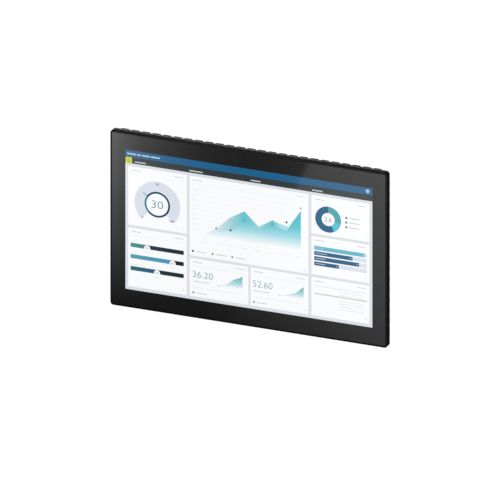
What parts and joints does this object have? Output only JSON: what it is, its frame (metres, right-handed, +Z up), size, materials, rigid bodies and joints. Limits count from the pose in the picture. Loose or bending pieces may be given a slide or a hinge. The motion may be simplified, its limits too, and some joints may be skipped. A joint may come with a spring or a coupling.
{
  "type": "hmi touch panel",
  "caption": "Fully enclosed wide-screen operator touch panel with a ribbed rear housing, connection bay and rear mounting pad.",
  "frame": {"origin": "centre of the mounting pad's rear face", "axes": "+X to the operator's right, +Z up, the screen faces -Y and the mounting pad faces +Y"},
  "size_m": [0.5324, 0.056, 0.3348],
  "materials": {
    "cover_glass": "polished, black printed border",
    "glass_tape": "foam tape",
    "front_frame": "fine matt black coating",
    "frame_seal": "soft matt",
    "housing": "matt graphite coating on die cast aluminium",
    "screws": "plain steel",
    "touch_film": "clear film",
    "flex": "amber film",
    "circuit_board": "green solder mask",
    "optical_bond": "clear gel",
    "lcd_cell": "polarised glass",
    "display_metal": "plated sheet",
    "white_plastic": "matt",
    "clear_plastic": "clear acrylic",
    "led_bar": "plain bar with light emitting diodes",
    "chips": "matt epoxy",
    "thermal_pad": "soft silicone",
    "flat_cable": "flat cable",
    "lead": "insulated wire",
    "battery": "polished can",
    "power_socket": "green moulding",
    "port_shell": "plated sheet",
    "data_card": "blue moulding",
    "system_card": "dark moulding",
    "earth_stud": "plain",
    "inserts": "plain, threaded",
    "seal": "soft matt",
    "cable_plate": "matt coating",
    "grommets": "soft matt"
  },
  "bodies": {
    "panel": {"cover_glass": "cover_glass", "glass_tape": "glass_tape", "front_frame": "front_frame", "frame_seal": "frame_seal", "rear_housing": "housing", "housing_screws": "screws", "touch_sensor": "touch_film", "touch_cable": "flex", "touch_controller": "circuit_board", "optical_bond": "optical_bond", "lcd_cell": "lcd_cell", "lcd_bezel": "display_metal", "mid_frame": "white_plastic", "diffuser_films": "white_plastic", "light_guide": "clear_plastic", "led_bar": "led_bar", "backlight_tray": "display_metal", "lcd_brackets": "display_metal", "bracket_screws": "screws", "backlight_driver": "circuit_board", "backlight_lead": "lead", "main_board": "circuit_board", "board_parts": "chips", "board_screws": "screws", "processor": "chips", "thermal_pad": "thermal_pad", "display_cable": "flat_cable", "backup_battery": "battery", "battery_holder": "white_plastic", "power_socket": "power_socket", "ethernet_ports": "port_shell", "usb_ports": "port_shell", "serial_port": "port_shell", "card_slots": "port_shell", "earth_stud": "earth_stud", "earth_nut": "screws", "mount_inserts": "inserts", "cable_plate": "cable_plate", "cable_grommets": "grommets", "cable_plate_screws": "screws"},
    "cover": {"bay_cover": "housing", "cover_screws": "screws", "cover_seal": "seal"},
    "data_card": {"data_card": "data_card"},
    "system_card": {"system_card": "system_card"}
  },
  "joints": [
    {"name": "cover_lift_off", "type": "slide", "parent": "panel", "child": "cover", "axis": [0, 1, 0], "range_m": [0, 0.06]},
    {"name": "data_card_pull", "type": "slide", "parent": "panel", "child": "data_card", "axis": [0, 0, -1], "range_m": [0, 0.03]},
    {"name": "system_card_pull", "type": "slide", "parent": "panel", "child": "system_card", "axis": [0, 0, -1], "range_m": [0, 0.03]}
  ]
}
